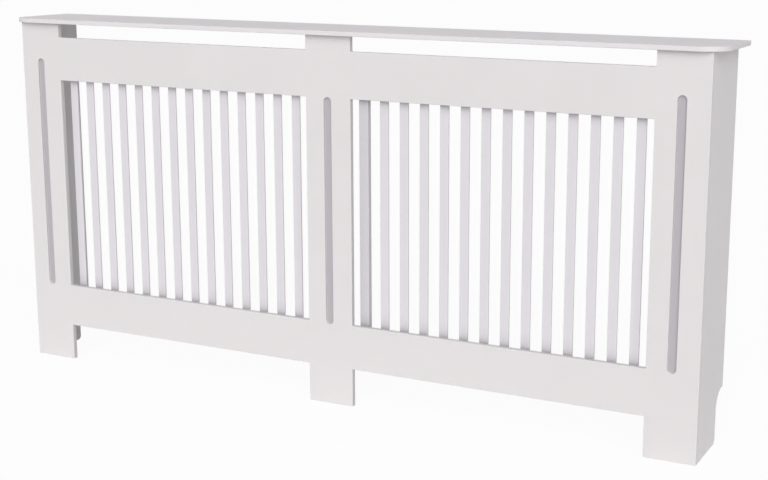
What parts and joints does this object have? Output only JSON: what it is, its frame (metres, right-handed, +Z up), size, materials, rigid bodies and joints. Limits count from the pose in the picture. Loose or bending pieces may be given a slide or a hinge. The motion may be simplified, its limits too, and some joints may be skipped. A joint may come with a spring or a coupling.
{
  "type": "radiator cover cabinet",
  "caption": "White painted board cabinet that stands over a radiator against a wall: slatted front on legs, end panels with skirting cut-outs, thin overhanging shelf.",
  "frame": {"origin": "on the floor, in the middle of the cabinet's footprint in plan", "axes": "+X along the wall (to the right seen from the room), +Y from the room to the wall, +Z up"},
  "size_m": [1.696, 0.197, 0.815],
  "materials": {
    "panel_paint": "semi-matt white paint on smooth fibreboard",
    "shelf_paint": "semi-matt white paint on smooth fibreboard, eased edge",
    "slat_paint": "semi-matt white paint on thin fibreboard strips",
    "block_plastic": "moulded off-white plastic",
    "zinc_steel": "bright zinc plated steel",
    "beech_dowel": "bare fluted beech"
  },
  "bodies": {
    "root": {"front_panel": "panel_paint", "side_panel_left": "panel_paint", "side_panel_right": "panel_paint", "top_shelf": "shelf_paint", "centre_batten": "slat_paint", "slat_left_01": "slat_paint", "slat_left_02": "slat_paint", "slat_left_03": "slat_paint", "slat_left_04": "slat_paint", "slat_left_05": "slat_paint", "slat_left_06": "slat_paint", "slat_left_07": "slat_paint", "slat_left_08": "slat_paint", "slat_left_09": "slat_paint", "slat_left_10": "slat_paint", "slat_left_11": "slat_paint", "slat_left_12": "slat_paint", "slat_left_13": "slat_paint", "slat_left_14": "slat_paint", "slat_right_01": "slat_paint", "slat_right_02": "slat_paint", "slat_right_03": "slat_paint", "slat_right_04": "slat_paint", "slat_right_05": "slat_paint", "slat_right_06": "slat_paint", "slat_right_07": "slat_paint", "slat_right_08": "slat_paint", "slat_right_09": "slat_paint", "slat_right_10": "slat_paint", "slat_right_11": "slat_paint", "slat_right_12": "slat_paint", "slat_right_13": "slat_paint", "corner_block_left_low": "block_plastic", "corner_block_right_low": "block_plastic", "corner_block_left_middle": "block_plastic", "corner_block_right_middle": "block_plastic", "corner_block_left_high": "block_plastic", "corner_block_right_high": "block_plastic", "front_screw_left_low": "zinc_steel", "front_screw_right_low": "zinc_steel", "front_screw_left_middle": "zinc_steel", "front_screw_right_middle": "zinc_steel", "front_screw_left_high": "zinc_steel", "front_screw_right_high": "zinc_steel", "end_screw_left_low": "zinc_steel", "end_screw_right_low": "zinc_steel", "end_screw_left_middle": "zinc_steel", "end_screw_right_middle": "zinc_steel", "end_screw_left_high": "zinc_steel", "end_screw_right_high": "zinc_steel", "batten_screw_low": "zinc_steel", "batten_screw_high": "zinc_steel", "bracket_screw_left": "zinc_steel", "bracket_screw_right": "zinc_steel", "wall_bracket_left": "zinc_steel", "wall_bracket_right": "zinc_steel", "shelf_dowel_left_front": "beech_dowel", "shelf_dowel_left_rear": "beech_dowel", "shelf_dowel_right_front": "beech_dowel", "shelf_dowel_right_rear": "beech_dowel"}
  },
  "joints": []
}
